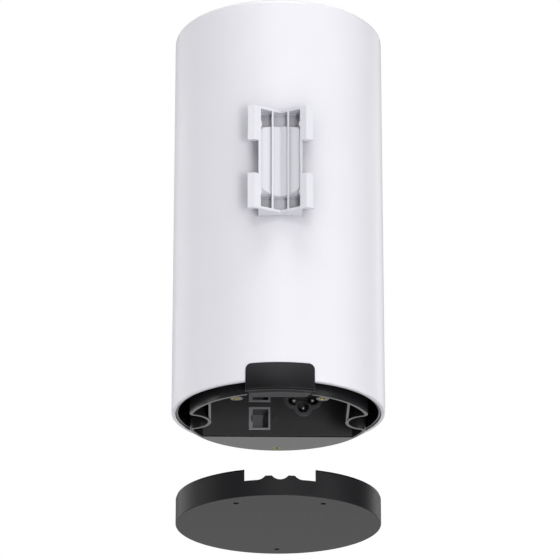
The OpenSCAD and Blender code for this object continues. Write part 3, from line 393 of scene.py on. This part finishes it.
# PET film, shrunk on the cans: smooth slate
wear(moulded("pet_sleeve_slate", "#2e333c", "#282c34", "#434a55", (0.3, 0.4), grain_mm=0.6), "capacitors")
# PVC, extruded on the leads: dull grey
wear(moulded("pvc_jacket_grey", "#37373a", "#2f2f32", "#4a4a4d", (0.45, 0.55), grain_mm=0.3),
     "antenna_leads")
# Glass and epoxy board under solder lacquer: glossy green
wear(moulded("fr4_board_green", "#1f5a34", "#194c2b", "#2b6e42", (0.3, 0.4), grain_mm=0.5),
     "main_board", "power_board")
# Ceramic, fired, for the light's body: a warm white
wear(moulded("ceramic_led_white", "#f2f1e8", "#eae9df", "#fafaf4", (0.3, 0.4), grain_mm=0.3), "status_led")
# PMMA, moulded clear, for the pipe that leads its light out: glassy, with a trace of its grain
wear(moulded("pmma_clear", "#f4f7f8", "#eef2f4", "#fbfdfd", (0.05, 0.1), Transmission_Weight=0.85),
     "light_pipe")


# %% [markdown]
# ## Metals
# Small metal parts sit in the ports and in the base. Full metal has no colour of its own in a dark bay: it
# only mirrors the dark round it. The real ones are dull with handling, tin or oxide, so brass, tin and
# bronze are only partly metallic here, and the rest are full metal. The recipe stays the same, and its
# grain now stands for the marks of turning, stamping and plating.

# %% Metals
# Brass, turned: dulled by handling, so its shine is broad and a little olive
brass = moulded("brass_turned", "#a39a5c", "#918850", "#cfc68e", (0.4, 0.5), grain_mm=0.4, Metallic=0.6)
wear(brass, "antennas")
# Steel sheet, tin-plated: a soft white metal with a broad shine
tin = moulded("tin_plated_steel", "#aeaeb1", "#a2a2a5", "#c6c6c9", (0.45, 0.55), grain_mm=0.5, Metallic=0.4)
wear(tin, "ethernet_shields", "shield_cans")
# Bronze, flashed with tin: a dull contact metal
wear(moulded("tin_flashed_bronze", "#8e8e90", "#828285", "#a6a6a8", (0.35, 0.45), grain_mm=0.4,
             Metallic=0.6), "ethernet_contacts")
# Brass, plated with nickel: pale and satin
wear(moulded("nickel_plated_brass", "#e9e8e4", "#dddcd8", "#f6f5f1", (0.42, 0.52), Metallic=1.0),
     "inlet_pins")
# Steel, zinc-plated: a bluish grey with a worn shine
wear(moulded("zinc_plated_steel", "#b4b5b8", "#a4a5a9", "#d0d1d4", (0.28, 0.4), grain_mm=0.4, Metallic=1.0),
     "bracket_screws", "base_screws", "board_screws", "chassis_screws", "cover_screws")
# Aluminium, extruded: a plain grey, drawn matt by the die
wear(moulded("aluminium_extruded", "#a9abae", "#9c9ea2", "#c4c6c9", (0.35, 0.48), grain_mm=0.4,
             Metallic=1.0), "heat_sink")
# Steel sheet, galvanised: paler, with a coarse spangle
wear(moulded("galvanised_sheet", "#b7b8ba", "#a9abad", "#cfd0d2", (0.4, 0.52), grain_mm=1.6, Metallic=1.0),
     "chassis")


# %% [markdown]
# ## Threaded inserts
# The cover's three screws go into brass inserts, and two of them face the lens. The solid has a plain
# bore, because a thread would only slow the physics down. Here each insert gets its thread and its
# knurl. A bump map would be flat where one looks into the bore, so the thread is real: the insert is
# one closed skin, up the outside and down the bore, and its radius is a formula of angle and height.
# The solid's box also tells where they sit: one lies at (0, c) and two at (c/2, -c sin 60) and
# (-c/2, -c sin 60), so its corner (c/2 + r, c + r) gives both the circle c and the insert's radius r.

# %% Inserts with thread and knurl
THREAD_PITCH = 0.5 * MM
THREAD_DEPTH = 0.27 * MM
BORE_R = 1.25 * MM
AROUND = 120              # points round an insert
OUTER_ROWS = 41           # rows of points up its outside
BORE_ROWS = 97            # rows down its bore, more because of the thread


def threaded_inserts(places, low, high, radius, ridges=22, relief=0.1 * MM, flare=0.3 * MM):
    """Skins of the inserts, each a grid of angle a and step along the profile that closes both ways.

    Outside, crossed ridges, with n = ridges/2:
    r = radius - relief |sin(n (a + z/radius)) sin(n (a - z/radius))|.
    In the bore, a screw thread with flared ends: r = bore + depth |2 frac(z/pitch + a/2pi) - 1|."""
    a = np.linspace(0, 2 * np.pi, AROUND, endpoint=False)
    up = np.linspace(low, high, OUTER_ROWS)[:, None]
    down = np.linspace(high, low, BORE_ROWS)[:, None]
    knurl = np.abs(np.sin(ridges / 2 * (a + up / radius)) * np.sin(ridges / 2 * (a - up / radius)))
    plain = (up < low + flare) | (up > high - flare)
    outside = radius - np.where(plain, 0.0, relief * knurl)
    thread = THREAD_DEPTH * np.abs(2 * ((down / THREAD_PITCH + a / (2 * np.pi)) % 1) - 1)
    mouth = np.clip(flare - np.minimum(down - low, high - down), 0, None)
    inside = BORE_R + np.maximum(thread, mouth)
    r = np.concatenate([outside, inside])
    z = np.concatenate([up, down])
    x, y = np.array(places).T[:, :, None, None]
    points = np.stack(np.broadcast_arrays(x + r * np.cos(a), y + r * np.sin(a), z), axis=-1)
    index = np.arange(len(places) * r.size).reshape(-1, *r.shape)
    right, above = np.roll(index, -1, axis=2), np.roll(index, -1, axis=1)
    corner = np.roll(right, -1, axis=1)
    return points.reshape(-1, 3), np.stack([index, right, corner, above], axis=-1).reshape(-1, 4).tolist()


low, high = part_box("brass_inserts")
circle = 2 * (high[1] - high[0])
insert_r = high[1] - circle
half_x, near_y = circle / 2, -circle * math.sqrt(3) / 2
places = [(0, circle), (half_x, near_y), (-half_x, near_y)]
inserts = piece("threaded_inserts", *threaded_inserts(places, low[2], high[2], insert_r), brass)
inserts.data.polygons.foreach_set("use_smooth", np.ones(len(inserts.data.polygons), bool))
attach(inserts, "housing")
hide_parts("brass_inserts")
print("inserts of", round(2000 * insert_r, 2), "mm on a circle of", round(1000 * circle, 2), "mm radius")


# %% [markdown]
# ## Ribs of the port bay
# On each side of the bay a thin straight rib ties the nose of the side well to the skirt and stiffens
# both. Such trim is too thin to matter in the solids. A plain box would end in hard edges that catch no
# light, so a rounded rectangle is carried from the nose to the skirt. Where these lie is measured on the
# base, in the ring of its lowest points: the nose lies at its waist, and the skirt at its widest.

# %% Ribs beside the ports
RIB_WIDTH = 1.5 * MM
RIB_INSET = 0.06 * MM     # a rib's inner face stays this far behind the nose
RIB_RISE = 0.25 * MM      # its lower edge stays this far above the base's lowest ring
RING_BAND = 0.125 * MM    # points within this height belong to the ring
NOSE_BAND = 2.0 * MM      # points of the ring within this distance of y = 0 belong to a nose
SKIRT_WALL = 1.8 * MM     # the ribs end in the middle of the skirt's wall


def rounded_bars(places, y0, y1, z0, z1, width, corner=0.3 * MM, quarter=8):
    """Closed skins of bars along Y, one at each x of places.

    A bar's outline is a circle of radius corner, its quarters pushed apart to a rectangle: with angle a,
    x + sign(cos a)(width/2 - corner) + corner cos a, and so for z with the sine."""
    a = (np.arange(4 * quarter) + 0.5) * np.pi / (2 * quarter)
    across = np.sign(np.cos(a)) * (width / 2 - corner) + corner * np.cos(a)
    height = (z0 + z1) / 2 + np.sign(np.sin(a)) * ((z1 - z0) / 2 - corner) + corner * np.sin(a)
    x, y = np.array(places)[:, None, None] + across, np.array([y0, y1])[:, None]
    points = np.stack(np.broadcast_arrays(x, y, height), axis=-1)
    index = np.arange(points.size // 3).reshape(points.shape[:-1])
    near, far = index[:, 0], index[:, 1]
    sides = np.stack([near, far, np.roll(far, -1, axis=1), np.roll(near, -1, axis=1)], axis=-1)
    return points.reshape(-1, 3), [*sides.reshape(-1, 4).tolist(), *near.tolist(), *far[:, ::-1].tolist()]


base_mesh = nodes["base_frame"].data
base_points = np.empty(3 * len(base_mesh.vertices))
base_mesh.vertices.foreach_get("co", base_points)
base_points = base_points.reshape(-1, 3)
base_low = base_points[:, 2].min()
lowest = base_points[base_points[:, 2] < base_low + RING_BAND]
nose_x = np.abs(lowest[np.abs(lowest[:, 1]) < NOSE_BAND, 0]).min()
skirt_r = np.hypot(lowest[:, 0], lowest[:, 1]).max()
rib_x = nose_x + RIB_INSET + RIB_WIDTH / 2
skirt_y = -math.sqrt((skirt_r - SKIRT_WALL / 2) ** 2 - rib_x ** 2)
bay_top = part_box("port_plate")[1][2]
bars = rounded_bars((-rib_x, rib_x), skirt_y, 0, base_low + RIB_RISE, bay_top, RIB_WIDTH)
ribs = piece("bay_ribs", *bars, base_black)
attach(ribs, "housing")
print("ribs at", round(1000 * rib_x, 2), "mm, from 0 to", round(1000 * skirt_y, 2), "mm")


# %% [markdown]
# ## Sizes
# Other parts are placed by the box of the solids, so the dressed node has to keep to it. The two boxes could
# be compared by eye in a view, but a tenth of a millimetre doesn't show there. This cell does not compare
# them or write them out.

# %% Sizes and finish
print("scene dressed")
